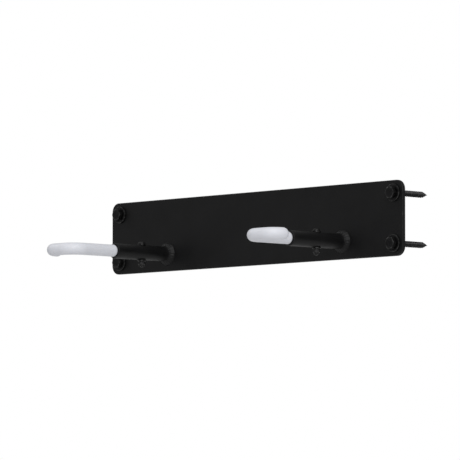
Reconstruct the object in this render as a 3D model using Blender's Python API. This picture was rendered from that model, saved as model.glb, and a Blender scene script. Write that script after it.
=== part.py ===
"""Wall rack for two bicycles: a flat steel plate that carries a mirrored pair of sleeved hooks.

Units are metres, +Z is up. The origin is the centre of the plate's back face, which lies against
the wall. The wall is the plane Y = 0, the hooks reach out along -Y, and X runs along the wall.
A wheel hangs by its rim in each hook's level bend, and its tyre leans on the wall below.
"""

import math

import bmesh
import bpy
from mathutils import Matrix, Vector

INCH = 0.0254
GAP = 0.0003  # clearance between pieces that touch
ROUND_SIDES = 24  # sides of a turned or swept piece
SHARP_ANGLE = math.radians(35)

# Wall plate
PLATE_LENGTH = 17 * INCH
PLATE_HEIGHT = 3 * INCH
PLATE_THICKNESS = 0.004
PLATE_CORNER_RADIUS = 3 / 8 * INCH
PLATE_EDGE_ROUND = 0.0006
CORNER_STEPS = 8

# Lag screws, one at each corner of the plate, and their washers
SCREW_SPACING_X = 16 * INCH  # from one wall stud to the next
SCREW_SPACING_Z = 2 * INCH
SCREW_HOLE_DIAMETER = 0.0075
SCREW_SHANK_DIAMETER = 0.25 * INCH
SCREW_LENGTH = 2 * INCH  # under the head
SCREW_POINT_LENGTH = 0.008
SCREW_ACROSS_FLATS = 7 / 16 * INCH
SCREW_HEAD_HEIGHT = 0.0044
HEX_CHAMFER = 0.0006
WASHER_DIAMETER = 0.018
WASHER_BORE = 0.0071
WASHER_THICKNESS = 0.0016
WASHER_EDGE = 0.0002

# Hooks, mirrored about the plate's centre. Each is level: an arm, a seat for the rim, a short tip
ARM_X = 0.130  # the arm's centreline, on the inner side of the wheel
HOOK_Z = -0.020  # below the plate's mid-height
SEAT_Y = -0.137  # centreline of the stretch that carries the rim
TIP_X = 0.168  # the tip's centreline, on the outer side of the wheel
ARM_BEND_RADIUS = 0.015
TIP_BEND_RADIUS = 0.012
BEND_STEPS = 12
BAR_DIAMETER = 3 / 8 * INCH
BAR_TAIL = 0.0014  # straight, past the tip's bend
BAR_END_CHAMFER = 0.0011

# Sleeves over the bars
SLEEVE_DIAMETER = 0.0127
SLEEVE_BORE = BAR_DIAMETER + 2 * GAP
SLEEVE_LIP = 0.0004
DOME_STEPS = 5

# Sockets for the bars, welded to the plate
SOCKET_DIAMETER = 5 / 8 * INCH
SOCKET_BORE = BAR_DIAMETER + 2 * GAP
SOCKET_END_Y = -0.079
SOCKET_CHAMFER = 0.0006
WELD_LEG = 0.0042
WELD_BULGE = 0.0006
WELD_STEPS = 4

# Cross bolts and their nuts, which lock each bar in its socket
CROSS_BOLT_Y = -0.040
CROSS_BOLT_DIAMETER = 0.004
CROSS_HOLE_DIAMETER = CROSS_BOLT_DIAMETER + 2 * GAP
CROSS_HEAD_DIAMETER = 0.0076
CROSS_HEAD_HEIGHT = 0.0022
CROSS_HEAD_STEPS = 3
CROSS_KEY_ACROSS_FLATS = 0.0025
CROSS_KEY_DEPTH = 0.0013
CROSS_END_CHAMFER = 0.0005
NUT_ACROSS_FLATS = 0.007
NUT_HEX_HEIGHT = 0.0035
NUT_COLLAR_DIAMETER = 0.0062
NUT_HEIGHT = 0.005
BOLT_PAST_NUT = 0.001

# Saddle washers, flat towards the bolt head or the nut and hollowed to sit on the round socket
SADDLE_DIAMETER = 0.009
SADDLE_THICKNESS = 0.0008  # at its thinnest, over the socket's crest
SADDLE_DEPTH = 0.0021  # from the flat side to the ends of its wings

SIDES = {"left": -1, "right": 1}
ROWS = {"upper": 1, "lower": -1}
UP = (0, 0, 1)
DOWN = (0, 0, -1)
FORWARD = (0, -1, 0)  # away from the wall
BACK = (0, 1, 0)

# Distances worked out from the above
PLATE_FRONT_Y = -PLATE_THICKNESS
WASHER_Y = PLATE_FRONT_Y - GAP
SCREW_SEAT_Y = WASHER_Y - WASHER_THICKNESS - GAP
SOCKET_Y = PLATE_FRONT_Y - GAP
SADDLE_FLAT = SOCKET_DIAMETER / 2 + GAP + SADDLE_THICKNESS  # from the arm's centreline
CLAMP_DISTANCE = SADDLE_FLAT + GAP  # from the arm's centreline to the bolt head, and to the nut
CROSS_BOLT_LENGTH = 2 * CLAMP_DISTANCE + NUT_HEIGHT + BOLT_PAST_NUT
CROSS_PLACE = (0, CROSS_BOLT_Y, 0)  # from the hook's root: where the bolt crosses the arm's centreline


def clear_scene():
    for obj in list(bpy.data.objects):
        bpy.data.objects.remove(obj, do_unlink=True)


def principled(name, colour, roughness, metallic):
    material = bpy.data.materials.new(name)
    material.use_nodes = True
    shader = material.node_tree.nodes["Principled BSDF"]
    shader.inputs["Base Color"].default_value = (*colour, 1.0)
    shader.inputs["Roughness"].default_value = roughness
    shader.inputs["Metallic"].default_value = metallic
    return material


def add_object(name, bm, place, material=None, parent=None):
    """One object of a bmesh, placed from its parent, with outward faces and smooth round ones."""
    bmesh.ops.recalc_face_normals(bm, faces=bm.faces)
    mesh = bpy.data.meshes.new(name)
    bm.to_mesh(mesh)
    bm.free()
    mesh.shade_smooth()
    mesh.set_sharp_from_angle(angle=SHARP_ANGLE)
    if material:
        mesh.materials.append(material)
    obj = bpy.data.objects.new(name, mesh)
    obj.location = place
    obj.parent = parent
    bpy.context.scene.collection.objects.link(obj)
    return obj


def combine(obj, helper, operation):
    """Cuts a helper out of an object, or joins it on, and leaves the helper out of the rack."""
    helper.hide_render = True
    helper.display_type = "WIRE"
    modifier = obj.modifiers.new(helper.name, "BOOLEAN")
    modifier.operation = operation
    modifier.object = helper


# Skins over rings of points


def ring(bm, centre, across, up, radius, sides=ROUND_SIDES):
    """Points round a centre, in the plane of two unit vectors. A radius of 0 gives one point."""
    if radius == 0:
        return [bm.verts.new(centre)]
    angles = [2 * math.pi * side / sides for side in range(sides)]
    spokes = [math.cos(angle) * across + math.sin(angle) * up for angle in angles]
    return [bm.verts.new(centre + radius * spoke) for spoke in spokes]


def bridge(bm, first, second):
    """Faces between two rings, or between a ring and a point."""
    for i in range(max(len(first), len(second))):
        corners = [first[i - 1], first[i]] if len(first) > 1 else [first[0]]
        corners += [second[i], second[i - 1]] if len(second) > 1 else [second[0]]
        if len(corners) > 2:
            bm.faces.new(corners)


def skin(bm, rings, endless=False):
    """A closed skin over rings in order: flat at both ends, or joined from the last to the first."""
    for first, second in zip(rings, rings[1:]):
        bridge(bm, first, second)
    if endless:
        bridge(bm, rings[-1], rings[0])
        return
    for end in (rings[0], rings[-1]):
        if len(end) > 1:
            bm.faces.new(end)


def turned(profile, axis, sides=ROUND_SIDES, endless=False):
    """A solid of revolution, or a prism. The profile is a list of (distance along the axis, radius)."""
    bm = bmesh.new()
    axis = Vector(axis)
    up = Vector((0, 1, 0)) if axis.z else Vector((0, 0, 1))
    across = up.cross(axis)
    rings = [ring(bm, along * axis, across, up, radius, sides) for along, radius in profile]
    skin(bm, rings, endless)
    return bm


def hexagon_corner(across_flats):
    return across_flats / 2 / math.cos(math.pi / 6)


# Wall plate


def rounded_outline(length, height, radius, steps):
    """The points of a rectangle with round corners, as (x, z)."""
    points = []
    for corner in range(4):
        towards = math.pi / 2 * (corner + 0.5)
        centre_x = math.copysign(length / 2 - radius, math.cos(towards))
        centre_z = math.copysign(height / 2 - radius, math.sin(towards))
        for step in range(steps + 1):
            angle = math.pi / 2 * (corner + step / steps)
            points.append((centre_x + radius * math.cos(angle), centre_z + radius * math.sin(angle)))
    return points


def screw_places():
    """The name, X and Z of each lag screw."""
    for side, x_sign in SIDES.items():
        for row, z_sign in ROWS.items():
            yield f"{row}_{side}", x_sign * SCREW_SPACING_X / 2, z_sign * SCREW_SPACING_Z / 2


def make_plate(material):
    bm = bmesh.new()
    outline = rounded_outline(PLATE_LENGTH, PLATE_HEIGHT, PLATE_CORNER_RADIUS, CORNER_STEPS)
    back = bm.faces.new([bm.verts.new((x, 0, z)) for x, z in outline])
    extruded = bmesh.ops.extrude_face_region(bm, geom=[back], use_keep_orig=True)["geom"]
    front = [item for item in extruded if isinstance(item, bmesh.types.BMVert)]
    bmesh.ops.translate(bm, verts=front, vec=(0, PLATE_FRONT_Y, 0))
    rims = [edge for edge in bm.edges if edge.verts[0].co.y == edge.verts[1].co.y]
    bmesh.ops.bevel(bm, geom=rims, offset=PLATE_EDGE_ROUND, segments=2, profile=0.5, affect="EDGES")
    plate = add_object("wall_plate", bm, (0, 0, 0), material)

    radius = SCREW_HOLE_DIAMETER / 2
    for place, x, z in screw_places():
        hole = turned([(-PLATE_THICKNESS, radius), (2 * PLATE_THICKNESS, radius)], FORWARD)
        combine(plate, add_object(f"screw_hole_{place}", hole, (x, 0, z)), "DIFFERENCE")


# Lag screws and washers


def make_washer(place, x, z, material):
    radius = WASHER_DIAMETER / 2
    bore = WASHER_BORE / 2
    profile = [
        (0, bore),
        (0, radius),
        (WASHER_THICKNESS - WASHER_EDGE, radius),
        (WASHER_THICKNESS, radius - WASHER_EDGE),
        (WASHER_THICKNESS, bore),
    ]
    bm = turned(profile, FORWARD, endless=True)
    add_object(f"washer_{place}", bm, (x, WASHER_Y, z), material)


def make_lag_screw(place, x, z, material):
    """A hexagon head in front of the washer, and a plain shank with a gimlet point."""
    corner = hexagon_corner(SCREW_ACROSS_FLATS)
    head_profile = [
        (0, corner),
        (SCREW_HEAD_HEIGHT - HEX_CHAMFER, corner),
        (SCREW_HEAD_HEIGHT, corner - 2 * HEX_CHAMFER),
    ]
    seat = (x, SCREW_SEAT_Y, z)
    head = add_object(f"lag_screw_{place}", turned(head_profile, FORWARD, sides=6), seat, material)

    radius = SCREW_SHANK_DIAMETER / 2
    inside_head = SCREW_HEAD_HEIGHT / 2
    shank_profile = [(-inside_head, radius), (SCREW_LENGTH - SCREW_POINT_LENGTH, radius), (SCREW_LENGTH, 0)]
    shank = add_object(f"screw_shank_{place}", turned(shank_profile, BACK), seat)
    combine(head, shank, "UNION")


# Hooks


def add_hook_root(name, side):
    """An empty where the arm's centreline meets the wall. All of a hook's pieces are placed from it."""
    root = bpy.data.objects.new(name, None)
    root.location = (side * ARM_X, 0, HOOK_Z)
    bpy.context.scene.collection.objects.link(root)
    return root


def hook_line(side, start_y):
    """Points and directions along a hook's centreline, from the plate to the end of the tip's bend."""
    arm_bend = (ARM_BEND_RADIUS, ARM_BEND_RADIUS, math.pi)
    tip_bend = (TIP_X - ARM_X - TIP_BEND_RADIUS, TIP_BEND_RADIUS, math.pi * 1.5)
    line = [(Vector((0, start_y, 0)), Vector(FORWARD))]
    for centre_x, radius, start_angle in (arm_bend, tip_bend):
        centre = Vector((centre_x, SEAT_Y + radius, 0))
        for step in range(BEND_STEPS + 1):
            angle = start_angle + math.pi / 2 * step / BEND_STEPS
            outward = Vector((math.cos(angle), math.sin(angle), 0))
            forward = Vector((-math.sin(angle), math.cos(angle), 0))
            line.append((centre + radius * outward, forward))
    mirror = Matrix.Diagonal((side, 1, 1))
    return [(mirror @ point, mirror @ forward) for point, forward in line]


def moved(station, distance):
    """The same station of a line, further along its own direction."""
    point, forward = station
    return point + distance * forward, forward


def swept_rings(bm, line, radii):
    """Rings square to a line that stays level."""
    up = Vector((0, 0, 1))
    return [ring(bm, point, forward.cross(up), up, radius) for (point, forward), radius in zip(line, radii)]


def cross_hole_cutter(root):
    """An upright drill through the socket and the bar."""
    radius = CROSS_HOLE_DIAMETER / 2
    profile = [(-SOCKET_DIAMETER, radius), (SOCKET_DIAMETER, radius)]
    return add_object(f"{root.name}_cross_hole", turned(profile, UP), CROSS_PLACE, parent=root)


def make_bar(root, side, cross_hole, material):
    line = hook_line(side, SOCKET_Y)
    line.insert(1, moved(line[0], BAR_END_CHAMFER))
    bend_end = line[-1]
    line += [moved(bend_end, BAR_TAIL - BAR_END_CHAMFER), moved(bend_end, BAR_TAIL)]
    radii = [BAR_DIAMETER / 2] * len(line)
    radii[0] -= BAR_END_CHAMFER
    radii[-1] -= BAR_END_CHAMFER
    bm = bmesh.new()
    skin(bm, swept_rings(bm, line, radii))
    combine(add_object(f"{root.name}_bar", bm, (0, 0, 0), material, root), cross_hole, "DIFFERENCE")


def make_sleeve(root, side, material):
    """A thin skin over the bar, open at the socket and closed by a dome at the tip."""
    radius = SLEEVE_DIAMETER / 2
    line = hook_line(side, SOCKET_END_Y - GAP)
    outside = [line[0], moved(line[0], SLEEVE_LIP)] + line[1:]
    radii = [radius - SLEEVE_LIP] + [radius] * (len(outside) - 1)
    for step in range(1, DOME_STEPS):
        angle = math.pi / 2 * step / DOME_STEPS
        outside.append(moved(line[-1], radius * math.sin(angle)))
        radii.append(radius * math.cos(angle))
    outside.append(moved(line[-1], radius))
    radii.append(0)

    bar_end = moved(line[-1], BAR_TAIL + GAP)
    inside = line + [bar_end, bar_end]
    inside_radii = [SLEEVE_BORE / 2] * (len(inside) - 1) + [0]

    bm = bmesh.new()
    rings = swept_rings(bm, outside, radii) + swept_rings(bm, inside, inside_radii)[::-1]
    skin(bm, rings, endless=True)
    add_object(f"{root.name}_sleeve", bm, (0, 0, 0), material, root)


def make_socket(root, cross_hole, material):
    """A tube for the bar, with the fillet of its weld round the end at the plate."""
    radius = SOCKET_DIAMETER / 2
    bore = SOCKET_BORE / 2
    length = SOCKET_Y - SOCKET_END_Y
    profile = [(0, bore), (0, radius + WELD_LEG)]
    for step in range(1, WELD_STEPS):
        share = step / WELD_STEPS
        bulge = WELD_BULGE * math.sin(math.pi * share)
        profile.append((WELD_LEG * share + bulge, radius + WELD_LEG * (1 - share) + bulge))
    profile += [
        (WELD_LEG, radius),
        (length - SOCKET_CHAMFER, radius),
        (length, radius - SOCKET_CHAMFER),
        (length, bore + SOCKET_CHAMFER),
        (length - SOCKET_CHAMFER, bore),
    ]
    socket = add_object(
        f"{root.name}_socket", turned(profile, FORWARD, endless=True), (0, SOCKET_Y, 0), material, root
    )
    combine(socket, cross_hole, "DIFFERENCE")


def make_saddle_washer(root, row, axis, cross_hole, material):
    """A washer between the round socket and what clamps it, on the side that the axis points to."""
    name = f"{root.name}_{row}_saddle"
    radius = SADDLE_DIAMETER / 2
    profile = [(SADDLE_FLAT - SADDLE_DEPTH, radius), (SADDLE_FLAT, radius)]
    saddle = add_object(name, turned(profile, axis), CROSS_PLACE, material, root)

    hollow_radius = SOCKET_DIAMETER / 2 + GAP
    hollow = turned([(-SADDLE_DIAMETER, hollow_radius), (SADDLE_DIAMETER, hollow_radius)], FORWARD)
    combine(saddle, add_object(f"{name}_hollow", hollow, CROSS_PLACE, parent=root), "DIFFERENCE")
    combine(saddle, cross_hole, "DIFFERENCE")


def make_cross_bolt(root, material):
    """A button-head bolt with a hexagon key hole, its head above the socket."""
    seat = (0, CROSS_BOLT_Y, CLAMP_DISTANCE)
    radius = CROSS_BOLT_DIAMETER / 2
    profile = []
    for step in range(CROSS_HEAD_STEPS):
        angle = math.pi / 2 * (1 + step) / (CROSS_HEAD_STEPS + 0.5)
        profile.append((-CROSS_HEAD_HEIGHT * math.cos(angle), CROSS_HEAD_DIAMETER / 2 * math.sin(angle)))
    profile += [
        (0, CROSS_HEAD_DIAMETER / 2),
        (0, radius),
        (CROSS_BOLT_LENGTH - CROSS_END_CHAMFER, radius),
        (CROSS_BOLT_LENGTH, radius - CROSS_END_CHAMFER),
    ]
    bolt = add_object(f"{root.name}_cross_bolt", turned(profile, DOWN), seat, material, root)

    corner = hexagon_corner(CROSS_KEY_ACROSS_FLATS)
    floor = -CROSS_HEAD_HEIGHT + CROSS_KEY_DEPTH
    key = turned([(-2 * CROSS_HEAD_HEIGHT, corner), (floor, corner)], DOWN, sides=6)
    combine(bolt, add_object(f"{root.name}_key_hole", key, seat, parent=root), "DIFFERENCE")


def make_nut(root, material):
    """A lock nut under the socket: a hexagon with a round collar below it."""
    seat = (0, CROSS_BOLT_Y, -CLAMP_DISTANCE)
    corner = hexagon_corner(NUT_ACROSS_FLATS)
    hexagon = [(0, corner), (NUT_HEX_HEIGHT, corner)]
    nut = add_object(f"{root.name}_lock_nut", turned(hexagon, DOWN, sides=6), seat, material, root)

    collar_radius = NUT_COLLAR_DIAMETER / 2
    collar = [(NUT_HEX_HEIGHT / 2, collar_radius), (NUT_HEIGHT, collar_radius)]
    combine(nut, add_object(f"{root.name}_nut_collar", turned(collar, DOWN), seat, parent=root), "UNION")
    thread = [(-NUT_HEIGHT, CROSS_HOLE_DIAMETER / 2), (2 * NUT_HEIGHT, CROSS_HOLE_DIAMETER / 2)]
    bore = add_object(f"{root.name}_nut_thread", turned(thread, DOWN), seat, parent=root)
    combine(nut, bore, "DIFFERENCE")


def make_rack():
    powder_coat = principled("black_powder_coat", (0.012, 0.012, 0.013), 0.45, 0.0)
    black_steel = principled("black_oxide_steel", (0.02, 0.02, 0.021), 0.4, 0.8)
    bar_steel = principled("zinc_plated_steel", (0.5, 0.5, 0.49), 0.35, 1.0)
    vinyl = principled("white_vinyl", (0.75, 0.76, 0.82), 0.5, 0.0)

    make_plate(powder_coat)
    for place, x, z in screw_places():
        make_washer(place, x, z, black_steel)
        make_lag_screw(place, x, z, black_steel)
    for side_name, side in SIDES.items():
        root = add_hook_root(f"{side_name}_hook", side)
        cross_hole = cross_hole_cutter(root)
        make_socket(root, cross_hole, powder_coat)
        make_bar(root, side, cross_hole, bar_steel)
        make_sleeve(root, side, vinyl)
        make_saddle_washer(root, "upper", UP, cross_hole, black_steel)
        make_saddle_washer(root, "lower", DOWN, cross_hole, black_steel)
        make_cross_bolt(root, black_steel)
        make_nut(root, black_steel)


clear_scene()
make_rack()
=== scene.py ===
"""Looks of the wall rack for two bicycles: fine surfaces for its pieces, materials, light and camera.

Units are metres, +Z is up. The wall is the plane Y = 0 and the hooks reach out along -Y. Places and
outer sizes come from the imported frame. What a box can't give, such as a bend's radius, is named here.
"""

import math
from collections import namedtuple

import bmesh
import bpy
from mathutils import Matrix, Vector, noise


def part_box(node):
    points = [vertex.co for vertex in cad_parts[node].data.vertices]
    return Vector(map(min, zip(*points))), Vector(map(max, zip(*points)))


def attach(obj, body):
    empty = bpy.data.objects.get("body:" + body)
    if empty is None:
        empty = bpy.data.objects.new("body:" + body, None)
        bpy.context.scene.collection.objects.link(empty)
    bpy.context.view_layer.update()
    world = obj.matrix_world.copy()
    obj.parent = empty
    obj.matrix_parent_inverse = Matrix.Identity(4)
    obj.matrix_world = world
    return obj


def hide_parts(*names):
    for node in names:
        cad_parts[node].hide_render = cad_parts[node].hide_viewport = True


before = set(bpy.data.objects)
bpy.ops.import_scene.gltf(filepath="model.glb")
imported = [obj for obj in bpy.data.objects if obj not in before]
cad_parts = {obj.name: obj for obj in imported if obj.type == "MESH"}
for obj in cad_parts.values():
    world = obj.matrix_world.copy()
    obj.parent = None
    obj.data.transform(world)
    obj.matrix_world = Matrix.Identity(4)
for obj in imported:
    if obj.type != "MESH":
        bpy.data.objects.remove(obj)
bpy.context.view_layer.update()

BODY = "root"
INCH = 0.0254
GAP = 0.0003  # the clearance that the solids keep where they touch
SHARP_ANGLE = math.radians(32)
FORWARD = Vector((0, -1, 0))  # away from the wall
BACK = Vector((0, 1, 0))
UP = Vector((0, 0, 1))
DOWN = Vector((0, 0, -1))
SIDES = {"left": -1, "right": 1}
SCREW_PLACES = ("upper_left", "lower_left", "upper_right", "lower_right")

# Edges, hexagons and threads, on several pieces
EDGE_STEPS = 5
ARC_MIDDLE = 0.3  # how far in from both sides the middle of a rounded edge is, as a share of its radius
HEXAGON_BLUNT = 0.985  # where a hexagon's corners end, as a share of the way to its sharp ones
CHAMFER_SLOPE = math.tan(math.radians(28))
THREAD_STEPS = 8  # points across one turn of a thread
THREAD_DECIMALS = 8  # enough of them to tell two points of a thread apart
THREAD_HALF_WIDTH = 0.36  # of a ridge at its root, as a share of the pitch
THREAD_CREST_WEAR = 0.8

# Wall plate
PLATE_CORNER_RADIUS = 3 / 8 * INCH
PLATE_EDGE_ROUND = 0.0007
PLATE_MARGIN = 0.0022  # from an edge to the loop where its worn strip ends
CORNER_STEPS = 14
HOLE_DIAMETER = 0.0075
HOLE_EDGE_ROUND = 0.0004
HOLE_SIDES = 48

# Lag screws and washers
LAG_SIDES = 48
LAG_HEAD_HEIGHT = 0.0044
LAG_ACROSS_FLATS = 7 / 16 * INCH
LAG_SHANK_RADIUS = INCH / 8
LAG_ROOT_RADIUS = 0.0022
LAG_PLAIN_LENGTH = 0.5 * INCH
LAG_PITCH = 0.1 * INCH
LAG_POINT_LENGTH = 0.008
LAG_POINT_POWER = 0.7  # below 1, so the thread fades more slowly than the point narrows
LAG_TIP_RADIUS = 0.0001
LAG_RUN_IN = 0.0016  # where the shank narrows and the thread rises
HEAD_EDGE = 0.00022
HEAD_TOP = 0.95  # the top's radius inside the chamfer, as a share of half the width across flats
HEAD_TOP_INNER = 0.55  # a ring on the top, as a share of that radius
HEAD_FACE = 0.955  # the washer face's radius, as a share of half the width across flats
HEAD_FACE_DEPTH = 0.08  # as a share of the head's height
WASHER_SIDES = 64
WASHER_BORE_RADIUS = 0.00355
WASHER_EDGE = 0.0004

# Hooks
ARM_BEND_RADIUS = 0.015
TIP_BEND_RADIUS = 0.012
BEND_STEPS = 30
BAR_RADIUS = 3 / 16 * INCH
BAR_TAIL = 0.0014  # straight, past the tip's bend
SLEEVE_BORE_RADIUS = BAR_RADIUS + GAP
SLEEVE_SIDES = 64
SLEEVE_STEP = 0.0012
SLEEVE_LIP = 0.0006
SLEEVE_WRINKLE = 0.00016
WRINKLE_LENGTH = 0.0026
SLEEVE_UNEVENNESS = 0.00009
UNEVEN_PATCHES = 160  # in a metre
UNEVEN_REACH = 0.004  # how far from the centreline the unevenness is looked up
DOME_STEPS = 12

# Sockets and their welds
SOCKET_RADIUS = 5 / 16 * INCH
SOCKET_SIDES = 176
SOCKET_END_ROUND = 0.0006
WELD_LEG = 0.0042
WELD_BULGE = 0.0005
WELD_STEPS = 12
WELD_RIPPLES = 22
WELD_RIPPLE_HEIGHT = 0.00032
WELD_RIPPLE_POWER = 0.8  # below 1, so the ripples have broad crests and narrow valleys
WELD_RIPPLE_AT_TOES = 0.35  # how high a ripple is at the bead's two sides, as a share of its middle
WELD_LAG = 1.1  # how far a ripple's middle trails behind its ends, as a phase in radians
WELD_UNEVENNESS = 0.00045
WELD_PATCHES = 1.9  # of unevenness, in a length of one tube radius
WELD_SEED = 3  # gives the two beads an unevenness of their own
WELD_EMBED = 0.0002
WELD_CLEAR = 1.15  # where the plain tube begins, as a share of the weld's leg

# Cross bolts, lock nuts and saddle washers
CROSS_SIDES = 48
CROSS_RADIUS = 0.002
CROSS_HOLE_RADIUS = CROSS_RADIUS + GAP
CROSS_EDGE = 0.00012
CROSS_HEAD_RADIUS = 0.0038
CROSS_HEAD_FLAT_RADIUS = 0.00165
CROSS_HEAD_STEPS = 9
KEY_ACROSS_FLATS = 0.0025
KEY_BLUNT = 0.99
KEY_DEPTH = 0.0013
KEY_FLOOR = 0.97  # the key hole's width at its floor, as a share of its full width
KEY_FLARE = 0.7  # how far the key hole's rim opens out, as a share of the head's edge
CROSS_PITCH = 0.0007
CROSS_THREAD_DEPTH = 0.00036
CROSS_THREAD_LENGTH = 0.0105
CROSS_END_ROUND = 0.00012
NUT_ACROSS_FLATS = 0.007
NUT_FACE = 0.94  # a face's radius inside the chamfer, as a share of half the width across flats
NUT_EDGE = 0.00015
NUT_HEX_HEIGHT = 0.0035
NUT_COLLAR_RADIUS = 0.0031
NUT_COLLAR_ROLL = 0.0004
NUT_INSERT_RADIUS = 0.00262
NUT_INSERT_FINISH = 1  # its place among the nut's materials
SADDLE_THICKNESS = 0.0008
SADDLE_EDGE = 0.00015

# Camera, lights and floor
CAMERA_PLACE = Vector((3.184, -3.077, -0.326))  # 46 degrees to the right of the rack, 4 below it
CAMERA_TARGET = Vector((0, -0.036, -0.003))
CAMERA_LENS = 336  # millimetres
CAMERA_SENSOR = 36  # millimetres
CAMERA_REACH = 100
OVERHEAD_PLACE = (1.6, -1.8, 3.4)  # only the way from here to the rack counts
OVERHEAD_STRENGTH = 0.95
OVERHEAD_SPREAD = math.radians(60)
AREA_TARGET = (0, -0.05, 0)
AREA_LIGHTS = {  # place, width, watts
    "key": ((3.3, -2.7, 1.4), 1.8, 62),
    "fill": ((-3.2, -0.7, 2.4), 1.6, 12),
}
WORLD_STRENGTH = 0.34  # as light on the rack
SEEN_STRENGTH = 1  # as the camera sees it
FLOOR_Z = -4.0
FLOOR_HALF = 40


# Meshes of rings


Spot = namedtuple("Spot", "origin axis across up")  # where a round piece is built


def new_bmesh():
    """A mesh in the making, with a value for how worn each of its points is."""
    bm = bmesh.new()
    bm.verts.layers.float.new("wear")
    return bm


def add_vert(bm, place, wear=0.0):
    vert = bm.verts.new(place)
    vert[bm.verts.layers.float["wear"]] = wear
    return vert


def stand(origin, axis):
    """The spot at an origin, with its axis and two directions square to it."""
    axis = Vector(axis)
    up = BACK if abs(axis.z) > 0.5 else UP
    return Spot(Vector(origin), axis, up.cross(axis), up)


def spoke_at(spot, angle):
    """The direction straight away from a spot's axis, at an angle round it."""
    return math.cos(angle) * spot.across + math.sin(angle) * spot.up


def ring(bm, spot, samples, wear=0.0):
    """A ring with one (distance along the axis, radius) for each of its points."""
    turn = 2 * math.pi / len(samples)
    return [
        add_vert(bm, spot.origin + along * spot.axis + radius * spoke_at(spot, turn * side), wear)
        for side, (along, radius) in enumerate(samples)
    ]


def circle(bm, spot, along, radius, sides, wear=0.0):
    """A round ring, or one point where the radius is 0."""
    return ring(bm, spot, [(along, radius)] * (sides if radius else 1), wear)


def bridge(bm, first, second, finish=0):
    """Faces between two rings, or between a ring and a point, in one of the piece's materials."""
    for i in range(max(len(first), len(second))):
        corners = [first[i - 1], first[i]] if len(first) > 1 else [first[0]]
        corners += [second[i], second[i - 1]] if len(second) > 1 else [second[0]]
        if len(corners) > 2:
            bm.faces.new(corners).material_index = finish


def skin(bm, rings, endless=False):
    """Faces from each ring to the next, and from the last to the first if it is endless."""
    for first, second in zip(rings, rings[1:]):
        bridge(bm, first, second)
    if endless:
        bridge(bm, rings[-1], rings[0])


def hexagon(across_flats, sides, blunt=HEXAGON_BLUNT):
    """The radius of a hexagon at each of a ring's points, with slightly blunted corners."""
    flat = across_flats / 2
    corner = flat / math.cos(math.pi / 6) * blunt
    radii = []
    for side in range(sides):
        off_flat = (2 * math.pi * side / sides) % (math.pi / 3) - math.pi / 6
        radii.append(min(flat / math.cos(off_flat), corner))
    return radii


def scallop(radii, along, face_radius, way=1):
    """The rim of a chamfer on a hexagon, which draws back along the axis towards the corners."""
    return [(along + way * (size - face_radius) * CHAMFER_SLOPE, size) for size in radii]


def rounded_end(bm, spot, end, radius, edge_round, sides, wear_at):
    """Rings round the outer edge of a tube's end. wear_at gives the wear for an angle round it."""
    rings = []
    for step in range(EDGE_STEPS + 1):
        angle = math.pi / 2 * step / EDGE_STEPS
        along = end - edge_round * (1 - math.sin(angle))
        size = radius - edge_round * (1 - math.cos(angle))
        rings.append(circle(bm, spot, along, size, sides, wear_at(angle)))
    return rings


def threaded(bm, spot, start, length, pitch, sides, root_at, depth_at):
    """The skin of a thread. Its rows follow the helix. Returns its first and its last ring."""
    made = {}

    def point(row, side):
        if side == sides:
            row, side = row + THREAD_STEPS, 0
        along = min(max(pitch * (row / THREAD_STEPS + side / sides), 0), length)
        key = (side, round(along, THREAD_DECIMALS))
        if key not in made:
            off_crest = abs((row % THREAD_STEPS) / THREAD_STEPS - 0.5)
            ridge = max(0.0, 1 - off_crest / THREAD_HALF_WIDTH)
            radius = root_at(along) + ridge * depth_at(along)
            spoke = spoke_at(spot, 2 * math.pi * side / sides)
            place = spot.origin + (start + along) * spot.axis + radius * spoke
            made[key] = add_vert(bm, place, ridge * THREAD_CREST_WEAR)
        return made[key]

    for row in range(-THREAD_STEPS, math.ceil(length / pitch) * THREAD_STEPS):
        for side in range(sides):
            places = ((row, side), (row, side + 1), (row + 1, side + 1), (row + 1, side))
            corners = list(dict.fromkeys(point(*place) for place in places))
            if len(corners) > 2:
                bm.faces.new(corners)
    first_ring = [made[side, 0.0] for side in range(sides)]
    last_ring = [made[side, round(length, THREAD_DECIMALS)] for side in range(sides)]
    return first_ring, last_ring


# Objects


def mesh_from(bm, name):
    mesh = bpy.data.meshes.new(name)
    bm.to_mesh(mesh)
    bm.free()
    return mesh


def add_object(name, data):
    obj = bpy.data.objects.new(name, data)
    bpy.context.scene.collection.objects.link(obj)
    return obj


def smooth(mesh):
    mesh.shade_smooth()
    mesh.set_sharp_from_angle(angle=SHARP_ANGLE)


def add_piece(name, bm, materials):
    """One finished piece, which stands for the CAD node of that name."""
    bmesh.ops.recalc_face_normals(bm, faces=bm.faces)
    mesh = mesh_from(bm, f"{name}_finished")
    for material in materials:
        mesh.materials.append(material)
    smooth(mesh)
    piece = add_object(f"{name}_finished", mesh)
    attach(piece, BODY)
    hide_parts(name)
    return piece


def cut_hole(piece, spot, radius, reach):
    """Drills a round hole right through a piece, along the spot's axis."""
    bm = new_bmesh()
    rings = [circle(bm, spot, along, radius, CROSS_SIDES) for along in (-reach, reach)]
    skin(bm, rings)
    for end in rings:
        bm.faces.new(end)
    bmesh.ops.recalc_face_normals(bm, faces=bm.faces)
    drill = add_object("drill", mesh_from(bm, "drill"))
    piece.modifiers.new("hole", "BOOLEAN").object = drill
    graph = bpy.context.evaluated_depsgraph_get()
    drilled = bpy.data.meshes.new_from_object(piece.evaluated_get(graph))
    piece.modifiers.clear()
    drilled.name = piece.data.name
    piece.data = drilled
    bpy.data.objects.remove(drill)
    smooth(drilled)


# Wall plate


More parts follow.
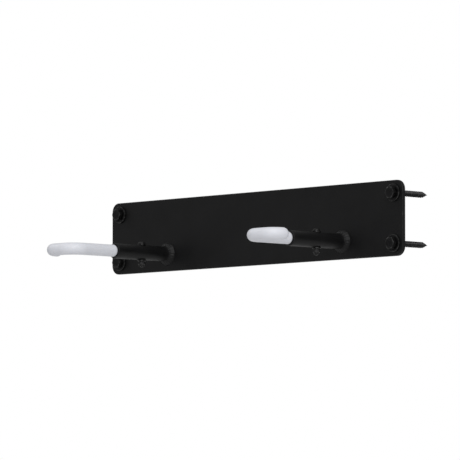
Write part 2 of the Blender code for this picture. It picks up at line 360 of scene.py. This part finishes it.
def rounded_outline(length, height, radius):
    """The (X, Z) points of a rectangle with round corners."""
    points = []
    for corner in range(4):
        towards = math.pi / 2 * (corner + 0.5)
        centre_x = math.copysign(length / 2 - radius, math.cos(towards))
        centre_z = math.copysign(height / 2 - radius, math.sin(towards))
        for step in range(CORNER_STEPS + 1):
            angle = math.pi / 2 * (corner + step / CORNER_STEPS)
            points.append((centre_x + radius * math.cos(angle), centre_z + radius * math.sin(angle)))
    return points


def edge_rows(thickness, edge_round):
    """(Y, distance in from the edge, wear) from the back flat, round the edge, to the front flat."""
    rows = [(0, PLATE_MARGIN, 0)]
    for front in (False, True):
        for step in range(EDGE_STEPS + 1):
            angle = math.pi / 2 * step / EDGE_STEPS
            by_sine = edge_round * (1 - math.sin(angle))
            by_cosine = edge_round * (1 - math.cos(angle))
            y, inset = (-thickness + by_sine, by_cosine) if front else (-by_cosine, by_sine)
            rows.append((y, inset, math.sin(2 * angle)))
    return rows + [(-thickness, PLATE_MARGIN, 0)]


def make_plate(powder_coat):
    """A flat plate with round corners, rounded edges and a hole for each screw."""
    low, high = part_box("wall_plate")
    length, thickness, height = high - low
    bm = new_bmesh()
    borders = {"back": [], "front": []}  # the loops round the plate's two flats

    def keep_borders(rings):
        for flat, loop in (("back", rings[0]), ("front", rings[-1])):
            borders[flat] += [bm.edges.get((loop[i - 1], loop[i])) for i in range(len(loop))]

    rings = []
    for y, inset, wear in edge_rows(thickness, PLATE_EDGE_ROUND):
        outline = rounded_outline(length - 2 * inset, height - 2 * inset, PLATE_CORNER_RADIUS - inset)
        rings.append([add_vert(bm, (x, y, z), wear) for x, z in outline])
    skin(bm, rings)
    keep_borders(rings)

    for place in SCREW_PLACES:
        washer_low, washer_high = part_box(f"washer_{place}")
        middle = (washer_low + washer_high) / 2
        spot = stand((middle.x, 0, middle.z), BACK)
        rings = [
            circle(bm, spot, y, HOLE_DIAMETER / 2 + inset, HOLE_SIDES, wear)
            for y, inset, wear in edge_rows(thickness, HOLE_EDGE_ROUND)
        ]
        skin(bm, rings)
        keep_borders(rings)

    for flat, facing in (("back", BACK), ("front", FORWARD)):
        bmesh.ops.triangle_fill(bm, edges=borders[flat], use_beauty=True, normal=facing)
    plate = add_piece("wall_plate", bm, [powder_coat])
    plate.modifiers.new("weighted_normal", "WEIGHTED_NORMAL").keep_sharp = True


# Lag screws and washers


def make_washer(place, steel):
    """A flat washer, turned round its bore, with a rounded front edge."""
    low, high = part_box(f"washer_{place}")
    radius = (high.x - low.x) / 2
    thickness = high.y - low.y
    middle = (low + high) / 2
    spot = stand((middle.x, high.y, middle.z), FORWARD)
    round_middle = WASHER_EDGE * ARC_MIDDLE
    section = [  # distance along the axis, radius, wear
        (0, WASHER_BORE_RADIUS, 0.2),
        (0, radius - WASHER_EDGE / 3, 0.2),
        (WASHER_EDGE / 3, radius, 0.5),
        (thickness - WASHER_EDGE, radius, 0.5),
        (thickness - round_middle, radius - round_middle, 1),
        (thickness, radius - WASHER_EDGE, 0.7),
        (thickness, radius - 3 * WASHER_EDGE, 0.1),
        (thickness, WASHER_BORE_RADIUS + WASHER_EDGE, 0.3),
        (thickness - WASHER_EDGE / 2, WASHER_BORE_RADIUS, 0.6),
    ]
    bm = new_bmesh()
    rings = [circle(bm, spot, along, size, WASHER_SIDES, wear) for along, size, wear in section]
    skin(bm, rings, endless=True)
    add_piece(f"washer_{place}", bm, [steel])


def hex_head(bm, spot, height, across_flats, sides):
    """The rings of a hexagon head, from the middle of its chamfered top down to its washer face."""
    radii = hexagon(across_flats, sides)
    top_radius = across_flats / 2 * HEAD_TOP
    face_radius = across_flats / 2 * HEAD_FACE
    face_depth = HEAD_FACE_DEPTH * height
    rim = -height + HEAD_EDGE * ARC_MIDDLE
    return [
        circle(bm, spot, -height, 0, sides),
        circle(bm, spot, -height, top_radius * HEAD_TOP_INNER, sides),
        circle(bm, spot, -height, top_radius - HEAD_EDGE, sides, wear=0.3),
        circle(bm, spot, rim, top_radius, sides, wear=0.8),
        ring(bm, spot, scallop(radii, rim, top_radius), wear=1.0),
        ring(bm, spot, scallop(radii, -height + 2 * HEAD_EDGE, top_radius), wear=0.25),
        ring(bm, spot, [(-face_depth - HEAD_EDGE, size) for size in radii], wear=0.2),
        ring(bm, spot, [(-face_depth, size - HEAD_EDGE) for size in radii], wear=0.6),
        circle(bm, spot, -face_depth, face_radius, sides, wear=0.2),
        circle(bm, spot, 0, face_radius, sides, wear=0.2),
    ]


def make_lag_screw(place, steel):
    """A hexagon head on its washer face, a plain shank, and a coarse thread that ends in a point."""
    low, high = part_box(f"lag_screw_{place}")
    seat_y = low.y + LAG_HEAD_HEIGHT
    middle = (low + high) / 2
    spot = stand((middle.x, seat_y, middle.z), BACK)
    length = high.y - seat_y
    thread_length = length - LAG_PLAIN_LENGTH

    def narrowing(along):
        return min(1.0, max(0.0, (thread_length - along) / LAG_POINT_LENGTH))

    def rise(along):
        share = min(1.0, along / LAG_RUN_IN)
        return share * share * (3 - 2 * share)

    def root_at(along):
        narrowed = LAG_SHANK_RADIUS + (LAG_ROOT_RADIUS - LAG_SHANK_RADIUS) * rise(along)
        return max(LAG_TIP_RADIUS, narrowed * narrowing(along))

    def depth_at(along):
        return (LAG_SHANK_RADIUS - LAG_ROOT_RADIUS) * rise(along) * narrowing(along) ** LAG_POINT_POWER

    bm = new_bmesh()
    rings = hex_head(bm, spot, LAG_HEAD_HEIGHT, LAG_ACROSS_FLATS, LAG_SIDES)
    rings.append(circle(bm, spot, 0, LAG_SHANK_RADIUS + HEAD_EDGE, LAG_SIDES))
    rings.append(circle(bm, spot, 2 * HEAD_EDGE, LAG_SHANK_RADIUS, LAG_SIDES))
    first_ring, last_ring = threaded(
        bm, spot, LAG_PLAIN_LENGTH, thread_length, LAG_PITCH, LAG_SIDES, root_at, depth_at
    )
    rings.append(first_ring)
    skin(bm, rings)
    bridge(bm, last_ring, circle(bm, spot, length, 0, LAG_SIDES))
    add_piece(f"lag_screw_{place}", bm, [steel])


# Hooks


HookPlaces = namedtuple("HookPlaces", "arm_x hook_z seat_y tip_x sleeve_radius sleeve_start_y")
Station = namedtuple("Station", "point forward inward bent")  # inward: to the centre of its bend


def hook_places(name):
    """Where a hook's centreline runs, with its Xs as on the right, and the sleeve's radius and start."""
    socket_low, socket_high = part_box(f"{name}_socket")
    sleeve_low, sleeve_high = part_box(f"{name}_sleeve")
    radius = (sleeve_high.z - sleeve_low.z) / 2
    arm_x = abs(socket_low.x + socket_high.x) / 2
    tip_x = max(abs(sleeve_low.x), abs(sleeve_high.x)) - radius
    hook_z = (socket_low.z + socket_high.z) / 2
    return HookPlaces(arm_x, hook_z, sleeve_low.y + radius, tip_x, radius, sleeve_high.y)


def cross_place(name):
    """Where the cross bolt's axis meets the arm's centreline."""
    low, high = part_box(f"{name}_upper_saddle")
    return Vector(((low.x + high.x) / 2, (low.y + high.y) / 2, hook_places(name).hook_z))


def straight_line(start, end, inward):
    """Stations from a point towards another, without the last one."""
    count = max(1, round((end - start).length / SLEEVE_STEP))
    forward = (end - start).normalized()
    return [Station(start.lerp(end, step / count), forward, inward, 0.0) for step in range(count)]


def bend_line(centre, radius, start_angle):
    """Stations round a level quarter bend, which is most bent at its middle."""
    line = []
    for step in range(BEND_STEPS + 1):
        angle = start_angle + math.pi / 2 * step / BEND_STEPS
        outward = Vector((math.cos(angle), math.sin(angle), 0))
        forward = Vector((-math.sin(angle), math.cos(angle), 0))
        bent = math.sin(math.pi * step / BEND_STEPS)
        line.append(Station(centre + radius * outward, forward, -outward, bent))
    return line


def hook_line(name, side):
    """Stations along a hook's centreline, from the sleeve's open end to the end of the tip's bend."""
    at = hook_places(name)
    sleeve_start = Vector((at.arm_x, at.sleeve_start_y, at.hook_z))
    arm_centre = Vector((at.arm_x + ARM_BEND_RADIUS, at.seat_y + ARM_BEND_RADIUS, at.hook_z))
    tip_centre = Vector((at.tip_x - TIP_BEND_RADIUS, at.seat_y + TIP_BEND_RADIUS, at.hook_z))
    arm_bend = bend_line(arm_centre, ARM_BEND_RADIUS, math.pi)
    tip_bend = bend_line(tip_centre, TIP_BEND_RADIUS, 1.5 * math.pi)
    line = straight_line(sleeve_start, arm_bend[0].point, arm_bend[0].inward)
    line += arm_bend[:-1]
    line += straight_line(arm_bend[-1].point, tip_bend[0].point, tip_bend[0].inward)
    line += tip_bend

    def mirrored(vector):
        return Vector((side * vector.x, vector.y, vector.z))

    return [Station(*map(mirrored, station[:3]), station.bent) for station in line]


def swept_ring(bm, point, forward, radius_at, wear=0.0):
    """A sleeve's ring, square to a level line. radius_at takes a direction and gives the radius."""
    across = forward.cross(UP)
    verts = []
    for i in range(SLEEVE_SIDES):
        angle = 2 * math.pi * i / SLEEVE_SIDES
        spoke = math.cos(angle) * across + math.sin(angle) * UP
        verts.append(add_vert(bm, point + radius_at(spoke) * spoke, wear))
    return verts


def make_sleeve(name, side, vinyl):
    """A skin of soft vinyl over the bar: open at the socket, domed at the tip, wrinkled in its bends."""
    radius = hook_places(name).sleeve_radius
    line = hook_line(name, side)
    bm = new_bmesh()
    outside = []
    run = 0.0
    for i, (point, forward, inward, bent) in enumerate(line):
        if i:
            run += (point - line[i - 1].point).length
        lip = max(0.0, 1 - run / SLEEVE_LIP)
        lip_drop = SLEEVE_LIP * (1 - math.sqrt(max(0.0, 1 - lip * lip)))
        fold = 0.5 + 0.5 * math.cos(2 * math.pi * run / WRINKLE_LENGTH)

        def radius_at(spoke):
            inner = max(0.0, spoke.dot(inward)) ** 2
            uneven = 0.5 + 0.5 * noise.noise((point + UNEVEN_REACH * spoke) * UNEVEN_PATCHES)
            return radius - lip_drop - SLEEVE_WRINKLE * bent * inner * fold - SLEEVE_UNEVENNESS * uneven

        outside.append(swept_ring(bm, point, forward, radius_at, lip))

    end = line[-1]
    for step in range(1, DOME_STEPS):
        angle = math.pi / 2 * step / DOME_STEPS
        point = end.point + radius * math.sin(angle) * end.forward
        shrunk = (radius - SLEEVE_UNEVENNESS / 2) * math.cos(angle)
        outside.append(swept_ring(bm, point, end.forward, lambda spoke: shrunk))
    dome_top = [add_vert(bm, end.point + radius * end.forward)]

    def bore_at(spoke):
        return SLEEVE_BORE_RADIUS

    inside = [swept_ring(bm, station.point, station.forward, bore_at) for station in line]
    bore_end = end.point + (BAR_TAIL + GAP) * end.forward
    inside.append(swept_ring(bm, bore_end, end.forward, bore_at))
    inside.append([add_vert(bm, bore_end)])
    skin(bm, [dome_top] + outside[::-1] + inside)
    add_piece(f"{name}_sleeve", bm, [vinyl])


def make_socket(name, side, powder_coat):
    """A tube drilled for its cross bolt, with a rippled bead of weld round its end at the plate."""
    at = hook_places(name)
    end_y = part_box(f"{name}_socket")[0].y
    plate_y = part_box("wall_plate")[0].y + WELD_EMBED
    spot = stand((side * at.arm_x, plate_y, at.hook_z), FORWARD)
    length = plate_y - end_y
    bore = SLEEVE_BORE_RADIUS
    turn = 2 * math.pi / SOCKET_SIDES

    def weld_samples(share):
        samples = []
        crown = math.sin(math.pi * share)
        ripple = WELD_RIPPLE_AT_TOES + (1 - WELD_RIPPLE_AT_TOES) * crown
        for i in range(SOCKET_SIDES):
            angle = turn * i
            around = Vector((math.cos(angle), math.sin(angle), side * WELD_SEED))
            leg = WELD_LEG + WELD_UNEVENNESS * noise.noise(around * WELD_PATCHES)
            lobe = abs(math.cos((WELD_RIPPLES * angle) / 2 - WELD_LAG * crown))
            swell = WELD_BULGE * crown + WELD_RIPPLE_HEIGHT * (lobe**WELD_RIPPLE_POWER - 1) * ripple
            samples.append((leg * share + swell * share, SOCKET_RADIUS + leg * (1 - share) + swell))
        return samples

    def end_wear(angle):
        return math.sin(2 * angle)

    bm = new_bmesh()
    rings = [circle(bm, spot, 0, bore, SOCKET_SIDES)]
    rings += [ring(bm, spot, weld_samples(step / WELD_STEPS), wear=0.15) for step in range(WELD_STEPS)]
    plain = (WELD_LEG * WELD_CLEAR, WELD_LEG * 2, length / 3, length / 2, length * 2 / 3, length * 0.9)
    rings += [circle(bm, spot, along, SOCKET_RADIUS, SOCKET_SIDES) for along in plain]
    rings += rounded_end(bm, spot, length, SOCKET_RADIUS, SOCKET_END_ROUND, SOCKET_SIDES, end_wear)
    rings.append(circle(bm, spot, length, bore + SOCKET_END_ROUND / 2, SOCKET_SIDES, wear=0.4))
    rings.append(circle(bm, spot, length - SOCKET_END_ROUND / 2, bore, SOCKET_SIDES, wear=0.4))
    skin(bm, rings, endless=True)
    socket = add_piece(f"{name}_socket", bm, [powder_coat])
    cut_hole(socket, stand(cross_place(name), UP), CROSS_HOLE_RADIUS, 2 * SOCKET_RADIUS)


# Cross bolts, lock nuts and saddle washers


def make_saddle_washer(name, piece, axis, steel):
    """A washer with a flat side away from the socket, hollowed on the other side to sit on it."""
    node = f"{name}_{piece}"
    low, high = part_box(node)
    radius = (high.x - low.x) / 2
    rest_radius = SOCKET_RADIUS + GAP
    flat = rest_radius + SADDLE_THICKNESS
    wing = flat - (high.z - low.z)
    spot = stand(cross_place(name), axis)
    along_arm = spot.up  # since the axis is upright

    def hollow(size, edge=0.0):
        samples = []
        for i in range(CROSS_SIDES):
            spoke = spoke_at(spot, 2 * math.pi * i / CROSS_SIDES)
            off_arm = size * math.sqrt(max(0.0, 1 - spoke.dot(along_arm) ** 2))
            samples.append((max(wing, math.sqrt(rest_radius**2 - off_arm**2)) + edge, size))
        return samples

    bm = new_bmesh()
    rings = [
        circle(bm, spot, flat, CROSS_HOLE_RADIUS + SADDLE_EDGE, CROSS_SIDES, wear=0.4),
        circle(bm, spot, flat, radius - 4 * SADDLE_EDGE, CROSS_SIDES, wear=0.2),
        circle(bm, spot, flat, radius - SADDLE_EDGE, CROSS_SIDES, wear=0.8),
        circle(bm, spot, flat - SADDLE_EDGE, radius, CROSS_SIDES, wear=0.8),
        ring(bm, spot, hollow(radius, SADDLE_EDGE), wear=0.3),
        ring(bm, spot, hollow(radius - SADDLE_EDGE), wear=0.3),
        ring(bm, spot, hollow((radius + CROSS_HOLE_RADIUS) / 2)),
        ring(bm, spot, hollow(CROSS_HOLE_RADIUS)),
        circle(bm, spot, flat - SADDLE_EDGE, CROSS_HOLE_RADIUS, CROSS_SIDES, wear=0.3),
    ]
    skin(bm, rings, endless=True)
    add_piece(node, bm, [steel])


def make_cross_bolt(name, steel):
    """A button head with a hexagon key hole, a plain shank and a machine thread."""
    low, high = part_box(f"{name}_cross_bolt")
    clamp = SOCKET_RADIUS + GAP + SADDLE_THICKNESS + GAP
    middle = cross_place(name)
    seat_z = middle.z + clamp
    spot = stand((middle.x, middle.y, seat_z), DOWN)
    top = high.z - seat_z
    length = seat_z - low.z
    key = hexagon(KEY_ACROSS_FLATS, CROSS_SIDES, KEY_BLUNT)
    floor = -top + KEY_DEPTH
    flat_angle = math.asin(CROSS_HEAD_FLAT_RADIUS / CROSS_HEAD_RADIUS)
    dome_height = top / math.cos(flat_angle)

    bm = new_bmesh()
    rings = [
        circle(bm, spot, floor + 3 * CROSS_EDGE, 0, CROSS_SIDES),
        ring(bm, spot, [(floor, size * KEY_FLOOR) for size in key]),
        ring(bm, spot, [(floor + CROSS_EDGE, size) for size in key], wear=0.1),
        ring(bm, spot, [(-top + CROSS_EDGE, size) for size in key], wear=0.7),
        ring(bm, spot, [(-top, size + CROSS_EDGE * KEY_FLARE) for size in key], wear=0.9),
    ]
    for step in range(CROSS_HEAD_STEPS + 1):
        angle = flat_angle + (math.pi / 2 - flat_angle) * step / CROSS_HEAD_STEPS
        along = -dome_height * math.cos(angle)
        rings.append(circle(bm, spot, along, CROSS_HEAD_RADIUS * math.sin(angle), CROSS_SIDES, wear=0.3))
    rings += [
        circle(bm, spot, 0, CROSS_HEAD_RADIUS - CROSS_EDGE, CROSS_SIDES, wear=0.5),
        circle(bm, spot, 0, CROSS_RADIUS, CROSS_SIDES),
    ]

    def fade(along):
        """How far the thread has grown after its start, and how much of it is left before its end."""
        left = min(1.0, max(0.0, (CROSS_THREAD_LENGTH - along) / CROSS_PITCH))
        return min(1.0, along / CROSS_PITCH), left

    def root_at(along):
        grown, left = fade(along)
        return CROSS_RADIUS - CROSS_THREAD_DEPTH * grown - CROSS_END_ROUND * (1 - left)

    def depth_at(along):
        grown, left = fade(along)
        return CROSS_THREAD_DEPTH * grown * left

    start = length - CROSS_THREAD_LENGTH
    first_ring, last_ring = threaded(
        bm, spot, start, CROSS_THREAD_LENGTH, CROSS_PITCH, CROSS_SIDES, root_at, depth_at
    )
    rings.append(first_ring)
    skin(bm, rings)
    bridge(bm, last_ring, circle(bm, spot, length, 0, CROSS_SIDES))
    add_piece(f"{name}_cross_bolt", bm, [steel])


def make_lock_nut(name, steel, nylon):
    """A chamfered hexagon, and a round collar rolled over a ring of nylon."""
    low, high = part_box(f"{name}_lock_nut")
    middle = cross_place(name)
    spot = stand((middle.x, middle.y, high.z), DOWN)
    height = high.z - low.z
    radii = hexagon(NUT_ACROSS_FLATS, CROSS_SIDES)
    face = NUT_ACROSS_FLATS / 2 * NUT_FACE
    bore = CROSS_HOLE_RADIUS

    bm = new_bmesh()
    rings = [
        circle(bm, spot, 2 * NUT_EDGE, bore, CROSS_SIDES),
        circle(bm, spot, 0, bore + 2 * NUT_EDGE, CROSS_SIDES, wear=0.3),
        circle(bm, spot, 0, face, CROSS_SIDES, wear=0.5),
        ring(bm, spot, scallop(radii, NUT_EDGE, face), wear=1.0),
        ring(bm, spot, scallop(radii, 3 * NUT_EDGE, face), wear=0.3),
        ring(bm, spot, scallop(radii, NUT_HEX_HEIGHT - 3 * NUT_EDGE, face, way=-1), wear=0.3),
        ring(bm, spot, scallop(radii, NUT_HEX_HEIGHT - NUT_EDGE, face, way=-1), wear=1.0),
        circle(bm, spot, NUT_HEX_HEIGHT, face, CROSS_SIDES, wear=0.5),
        circle(bm, spot, NUT_HEX_HEIGHT, NUT_COLLAR_RADIUS + NUT_EDGE, CROSS_SIDES),
        circle(bm, spot, NUT_HEX_HEIGHT + NUT_EDGE, NUT_COLLAR_RADIUS, CROSS_SIDES),
    ]
    rings += rounded_end(
        bm, spot, height, NUT_COLLAR_RADIUS, NUT_COLLAR_ROLL, CROSS_SIDES, lambda angle: 0.5
    )
    rings.append(circle(bm, spot, height - NUT_EDGE, NUT_INSERT_RADIUS, CROSS_SIDES, wear=0.2))
    skin(bm, rings)
    insert_face = circle(bm, spot, height - NUT_EDGE, bore + NUT_EDGE, CROSS_SIDES)
    insert_bore = circle(bm, spot, height - 3 * NUT_EDGE, bore, CROSS_SIDES)
    bridge(bm, rings[-1], insert_face, NUT_INSERT_FINISH)
    bridge(bm, insert_face, insert_bore, NUT_INSERT_FINISH)
    bridge(bm, insert_bore, rings[0])
    add_piece(f"{name}_lock_nut", bm, [steel, nylon])


# Materials


class Finish:
    """A Principled material, with what varies over its surface fed by nodes."""

    MIX_COLOURS = (6, 7)  # a Mix node's colour inputs: its number inputs have the same names
    MIX_RESULT = 2  # and its colour output

    def __init__(self, name, colour, roughness, metallic=0.0, specular=0.5):
        self.material = bpy.data.materials.new(name)
        self.material.use_nodes = True
        self.tree = self.material.node_tree
        self.shader = self.tree.nodes["Principled BSDF"]
        self.shader.inputs["Base Color"].default_value = (*colour, 1)
        self.shader.inputs["Roughness"].default_value = roughness
        self.shader.inputs["Metallic"].default_value = metallic
        self.shader.inputs["Specular IOR Level"].default_value = specular
        self.coordinates = self.tree.nodes.new("ShaderNodeTexCoord").outputs["Object"]

    def feed(self, output, name):
        self.tree.links.new(output, self.shader.inputs[name])

    def noise(self, size, detail=2.0, rough=0.5, squeeze=(1, 1, 1)):
        """Noise whose patches are about so many metres across, then squeezed along X, Y and Z."""
        mapping = self.tree.nodes.new("ShaderNodeMapping")
        mapping.inputs["Scale"].default_value = squeeze
        self.tree.links.new(self.coordinates, mapping.inputs["Vector"])
        texture = self.tree.nodes.new("ShaderNodeTexNoise")
        texture.inputs["Scale"].default_value = 1 / size
        texture.inputs["Detail"].default_value = detail
        texture.inputs["Roughness"].default_value = rough
        self.tree.links.new(mapping.outputs["Vector"], texture.inputs["Vector"])
        return texture.outputs["Fac"]

    def spread(self, value, given, wanted):
        """Stretches a (low, high) range of the value over another one, which it never leaves."""
        node = self.tree.nodes.new("ShaderNodeMapRange")
        for name, limit in zip(("From Min", "From Max", "To Min", "To Max"), (*given, *wanted)):
            node.inputs[name].default_value = limit
        self.tree.links.new(value, node.inputs["Value"])
        return node.outputs["Result"]

    def combine(self, operation, first, second):
        """Two nodes' outputs put together, such as by ADD or MULTIPLY."""
        node = self.tree.nodes.new("ShaderNodeMath")
        node.operation = operation
        for value, socket in zip((first, second), node.inputs):
            self.tree.links.new(value, socket)
        return node.outputs["Value"]

    def wear(self):
        node = self.tree.nodes.new("ShaderNodeAttribute")
        node.attribute_name = "wear"
        return node.outputs["Fac"]

    def blend(self, factor, first, second):
        """A colour between two, each a colour or another node's output."""
        node = self.tree.nodes.new("ShaderNodeMix")
        node.data_type = "RGBA"
        self.tree.links.new(factor, node.inputs["Factor"])
        for value, number in zip((first, second), self.MIX_COLOURS):
            if isinstance(value, tuple):
                node.inputs[number].default_value = (*value, 1)
            else:
                self.tree.links.new(value, node.inputs[number])
        return node.outputs[self.MIX_RESULT]

    def bump(self, height, distance, under=None):
        """Raises the surface by the height times the distance, over what another bump has done."""
        node = self.tree.nodes.new("ShaderNodeBump")
        node.inputs["Distance"].default_value = distance
        self.tree.links.new(height, node.inputs["Height"])
        if under:
            self.tree.links.new(under, node.inputs["Normal"])
        return node.outputs["Normal"]


def powder_coat_finish():
    """Satin black powder coat: orange peel, fine grain, and thin spots along its edges."""
    deep, pale = (0.0026, 0.0026, 0.0028), (0.0058, 0.0058, 0.0062)
    thin = (0.035, 0.035, 0.035)
    finish = Finish("powder_coat", colour=(0.004, 0.004, 0.0043), roughness=0.44, specular=0.22)
    peel = finish.noise(0.0014, detail=1.5)
    grain = finish.noise(0.00028, detail=1)
    cloud = finish.noise(0.03, detail=3)
    waves = finish.bump(finish.noise(0.02, detail=1), distance=0.00012)
    peeled = finish.bump(peel, distance=0.00006, under=waves)
    finish.feed(finish.bump(grain, distance=0.000008, under=peeled), "Normal")
    edges = finish.wear()
    spots = finish.spread(finish.noise(0.006, detail=4, rough=0.6), (0.5, 0.72), (0, 1))
    worn = finish.combine("MULTIPLY", edges, spots)
    finish.feed(finish.blend(worn, finish.blend(cloud, deep, pale), thin), "Base Color")
    scuffs = finish.spread(finish.noise(0.012, detail=6, rough=0.7), (0.56, 0.75), (0, 0.1))
    satin = finish.spread(cloud, (0.3, 0.7), (0.4, 0.5))
    finish.feed(finish.combine("ADD", satin, scuffs), "Roughness")
    return finish.material


def vinyl_finish():
    """Cool white soft vinyl: fine grain, a slow unevenness, and faint grey rubs."""
    cool, pale = (0.74, 0.755, 0.815), (0.80, 0.81, 0.86)
    rubbed = (0.60, 0.60, 0.63)
    finish = Finish("white_vinyl", colour=(0.75, 0.76, 0.82), roughness=0.44)
    finish.shader.inputs["Subsurface Weight"].default_value = 0.12
    finish.shader.inputs["Subsurface Radius"].default_value = (1.0, 0.9, 0.85)
    finish.shader.inputs["Subsurface Scale"].default_value = 0.0016
    streaks = finish.noise(0.004, detail=5, rough=0.65, squeeze=(1, 1, 3))
    rub = finish.spread(streaks, (0.56, 0.78), (0, 0.5))
    tint = finish.blend(finish.noise(0.012, detail=3), cool, pale)
    finish.feed(finish.blend(rub, tint, rubbed), "Base Color")
    finish.feed(finish.spread(finish.noise(0.005, detail=4), (0.3, 0.7), (0.38, 0.52)), "Roughness")
    slow = finish.bump(finish.noise(0.004), distance=0.00008)
    finish.feed(finish.bump(finish.noise(0.0005), distance=0.000018, under=slow), "Normal")
    return finish.material


def black_steel_finish():
    """Black oxide on steel, rubbed through to grey along the edges and the crests of threads."""
    deep, pale = (0.012, 0.012, 0.013), (0.024, 0.0235, 0.024)
    bare = (0.11, 0.11, 0.108)
    finish = Finish(
        "black_steel", colour=(0.016, 0.016, 0.017), roughness=0.42, metallic=0.9, specular=0.3
    )
    patches = finish.noise(0.0022, detail=4, rough=0.6)
    edges = finish.wear()
    worn = finish.combine("MULTIPLY", edges, finish.spread(patches, (0.42, 0.68), (0.1, 1)))
    oxide = finish.blend(finish.noise(0.005, detail=3), deep, pale)
    finish.feed(finish.blend(worn, oxide, bare), "Base Color")
    finish.feed(finish.spread(patches, (0.3, 0.7), (0.34, 0.52)), "Roughness")
    finish.feed(finish.bump(finish.noise(0.0004, detail=3), distance=0.000012), "Normal")
    return finish.material


def zinc_finish():
    """Bright zinc plate with the fine lines of a drawn bar."""
    dull, bright = (0.44, 0.445, 0.44), (0.58, 0.58, 0.57)
    finish = Finish("zinc_plate", colour=(0.5, 0.5, 0.49), roughness=0.34, metallic=1.0)
    spangle = finish.noise(0.004, detail=3)
    finish.feed(finish.blend(spangle, dull, bright), "Base Color")
    finish.feed(finish.spread(spangle, (0.3, 0.7), (0.28, 0.42)), "Roughness")
    lines = finish.noise(0.0006, squeeze=(1, 0.06, 1))
    finish.feed(finish.bump(lines, distance=0.00001), "Normal")
    return finish.material


def nylon_finish():
    """The milky nylon ring in a lock nut."""
    dull, milky = (0.68, 0.67, 0.62), (0.76, 0.75, 0.70)
    finish = Finish("nylon", colour=(0.72, 0.71, 0.66), roughness=0.4)
    finish.feed(finish.blend(finish.noise(0.0012), dull, milky), "Base Color")
    finish.feed(finish.bump(finish.noise(0.0003), distance=0.00001), "Normal")
    return finish.material


# Studio


def aim(obj, place, target):
    obj.location = place
    obj.rotation_mode = "QUATERNION"
    obj.rotation_quaternion = (Vector(target) - Vector(place)).to_track_quat("-Z", "Y")


def add_camera():
    data = bpy.data.cameras.new("camera")
    data.sensor_width = CAMERA_SENSOR
    data.lens = CAMERA_LENS
    data.clip_end = CAMERA_REACH
    camera = add_object("camera", data)
    aim(camera, CAMERA_PLACE, CAMERA_TARGET)
    bpy.context.scene.camera = camera


def add_overhead_light():
    data = bpy.data.lights.new("overhead", "SUN")
    data.energy = OVERHEAD_STRENGTH
    data.angle = OVERHEAD_SPREAD
    aim(add_object("overhead", data), OVERHEAD_PLACE, (0, 0, 0))


def add_area_light(name, place, size, power):
    data = bpy.data.lights.new(name, "AREA")
    data.shape = "SQUARE"
    data.size = size
    data.energy = power
    aim(add_object(name, data), place, AREA_TARGET)


def add_world():
    """White to look at, and a dimmer even light on the rack."""
    world = bpy.data.worlds.new("studio")
    bpy.context.scene.world = world
    world.use_nodes = True
    tree = world.node_tree
    tree.nodes.clear()
    rays = tree.nodes.new("ShaderNodeLightPath")
    mix = tree.nodes.new("ShaderNodeMixShader")
    output = tree.nodes.new("ShaderNodeOutputWorld")
    tree.links.new(rays.outputs["Is Camera Ray"], mix.inputs["Fac"])
    tree.links.new(mix.outputs["Shader"], output.inputs["Surface"])
    for strength, shader in zip((WORLD_STRENGTH, SEEN_STRENGTH), mix.inputs[1:]):
        background = tree.nodes.new("ShaderNodeBackground")
        background.inputs["Color"].default_value = (1, 1, 1, 1)
        background.inputs["Strength"].default_value = strength
        tree.links.new(background.outputs["Background"], shader)


def add_floor():
    bm = bmesh.new()
    corners = [(-1, -1), (1, -1), (1, 1), (-1, 1)]
    bm.faces.new([bm.verts.new((x * FLOOR_HALF, y * FLOOR_HALF, FLOOR_Z)) for x, y in corners])
    floor = add_object("floor", mesh_from(bm, "floor"))
    finish = Finish("pale_floor", colour=(0.94, 0.94, 0.94), roughness=0.8, specular=0.2)
    floor.data.materials.append(finish.material)


# The rack


def make_rack():
    powder_coat = powder_coat_finish()
    vinyl = vinyl_finish()
    steel = black_steel_finish()
    zinc = zinc_finish()
    nylon = nylon_finish()
    make_plate(powder_coat)
    for place in SCREW_PLACES:
        make_washer(place, steel)
        make_lag_screw(place, steel)
    for side_name, side in SIDES.items():
        name = f"{side_name}_hook"
        make_socket(name, side, powder_coat)
        make_sleeve(name, side, vinyl)
        make_saddle_washer(name, "upper_saddle", UP, steel)
        make_saddle_washer(name, "lower_saddle", DOWN, steel)
        make_cross_bolt(name, steel)
        make_lock_nut(name, steel, nylon)
        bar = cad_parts[f"{name}_bar"]  # keeps its shape, with a better material
        bar.data.materials.clear()
        bar.data.materials.append(zinc)


bpy.context.scene.view_settings.view_transform = "Standard"  # so that white stays white
add_camera()
add_world()
add_floor()
add_overhead_light()
for light_name, (light_place, light_size, watts) in AREA_LIGHTS.items():
    add_area_light(light_name, light_place, light_size, watts)
make_rack()
